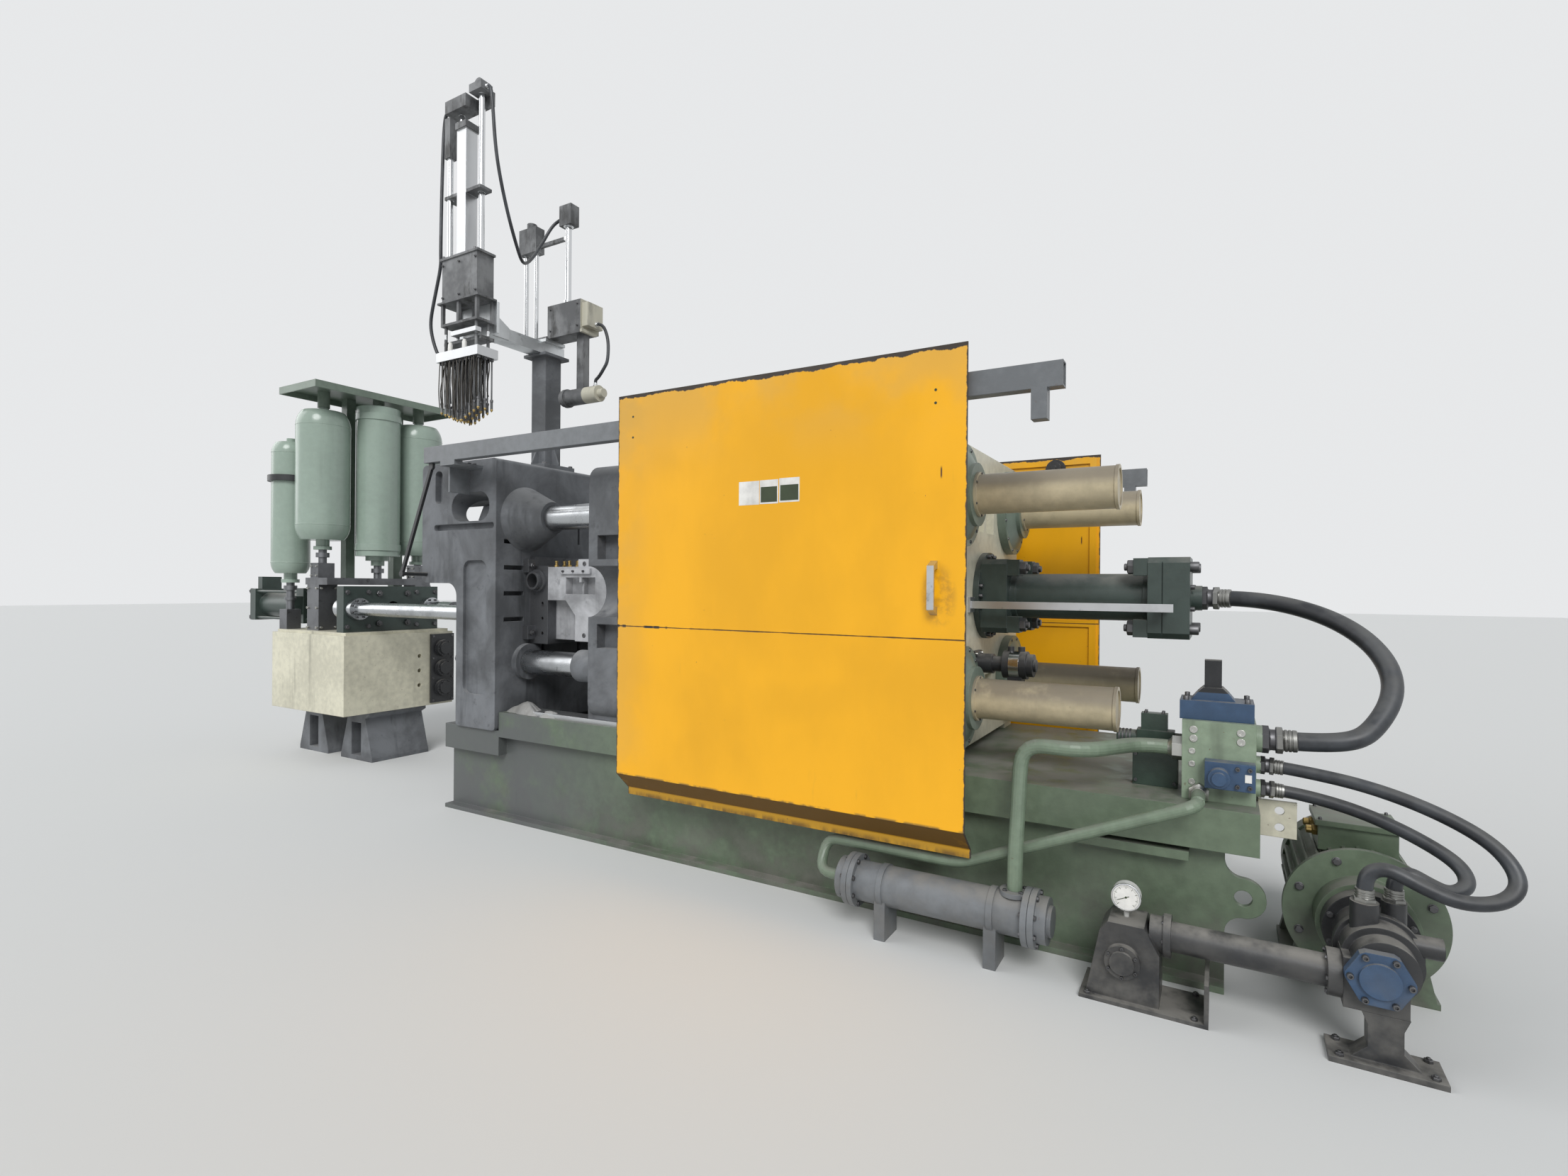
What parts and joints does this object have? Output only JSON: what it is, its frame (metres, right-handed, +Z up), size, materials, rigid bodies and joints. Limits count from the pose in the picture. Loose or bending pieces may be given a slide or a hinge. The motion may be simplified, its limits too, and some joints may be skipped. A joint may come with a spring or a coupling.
{
  "type": "cold chamber die casting machine",
  "caption": "Horizontal cold chamber die casting machine: toggle clamp on tie bars, sliding guard doors, shot end with gas bottles, overhead sprayer and oil pump.",
  "frame": {"origin": "on the floor, under the machine's centre line, in the plane of the fixed platen's die face", "axes": "+X along the machine from the shot end to the clamp end, +Y away from the operator's side, +Z up"},
  "size_m": [9.2727, 2.038, 4.73],
  "materials": {
    "bed_paint": "worn grey-green machine enamel",
    "dusty_casting": "grey casting under die-lubricant dust",
    "cream_paint": "cream enamel, oil-stained",
    "grey_green_paint": "grey-green enamel",
    "beige_paint": "beige enamel, dusty on top",
    "cylinder_paint": "dark grey-green enamel",
    "black_paint": "black enamel, greasy",
    "door_paint": "yellow-orange enamel, chipped at the edges",
    "rail_paint": "dusty grey paint",
    "manifold_paint": "light green enamel",
    "valve_blue": "blue enamel",
    "pipe_paint": "grey-green enamel on steel pipe",
    "bottle_paint": "pale mint enamel",
    "ground_steel": "ground steel",
    "chromed_bar": "hard chrome, filmed with oil",
    "tool_steel": "dark tool steel",
    "bare_aluminium": "bare aluminium profile",
    "hose_rubber": "black hydraulic hose",
    "gauge_white": "white dial in a steel case"
  },
  "bodies": {
    "machine": {"bed_front_side": "bed_paint", "bed_rear_side": "bed_paint", "bed_deck": "bed_paint", "end_bracket": "cream_paint", "slideways": "ground_steel", "fixed_platen": "dusty_casting", "moving_platen": "dusty_casting", "rear_platen": "cream_paint", "tie_bars": "chromed_bar", "tie_bar_nuts": "dusty_casting", "adjuster_flanges": "grey_green_paint", "tie_bar_covers": "beige_paint", "fixed_die": "tool_steel", "moving_die": "ground_steel", "closing_cylinder": "cylinder_paint", "crosshead": "chromed_bar", "toggle_links": "dusty_casting", "stroke_scale_bar": "ground_steel", "die_height_motor": "black_paint", "front_rail": "rail_paint", "rear_rail": "rail_paint", "rail_stay": "black_paint", "shot_frame": "cream_paint", "shot_side_plate": "black_paint", "shot_pedestals": "dusty_casting", "shot_cylinder": "cylinder_paint", "shot_guide_bars": "chromed_bar", "shot_sleeve": "tool_steel", "plunger_rod": "chromed_bar", "accumulators": "bottle_paint", "bottle_clamp": "black_paint", "accumulator_frame": "grey_green_paint", "charging_valves": "tool_steel", "manifold_block": "manifold_paint", "control_valves": "valve_blue", "oil_pipes": "pipe_paint", "oil_cooler": "rail_paint", "suction_filter": "black_paint", "pressure_gauge": "gauge_white", "pump": "black_paint", "pump_cover": "valve_blue", "pump_stand": "black_paint", "electric_motor": "bed_paint", "pressure_hoses": "hose_rubber", "sprayer_post": "dusty_casting", "sprayer_arm": "bare_aluminium", "sprayer_tower": "bare_aluminium", "spray_head": "tool_steel", "extractor": "bare_aluminium", "sprayer_hoses": "hose_rubber"},
    "front_door": {"front_door": "door_paint", "front_door_handle": "ground_steel", "front_door_hangers": "black_paint"},
    "rear_door": {"rear_door": "door_paint", "rear_door_handle": "ground_steel", "rear_door_hangers": "black_paint"}
  },
  "joints": [
    {"name": "front_door_slide", "type": "slide", "parent": "machine", "child": "front_door", "axis": [1, 0, 0], "range_m": [-1.25, 0]},
    {"name": "rear_door_slide", "type": "slide", "parent": "machine", "child": "rear_door", "axis": [1, 0, 0], "range_m": [-1.5, 0]}
  ]
}
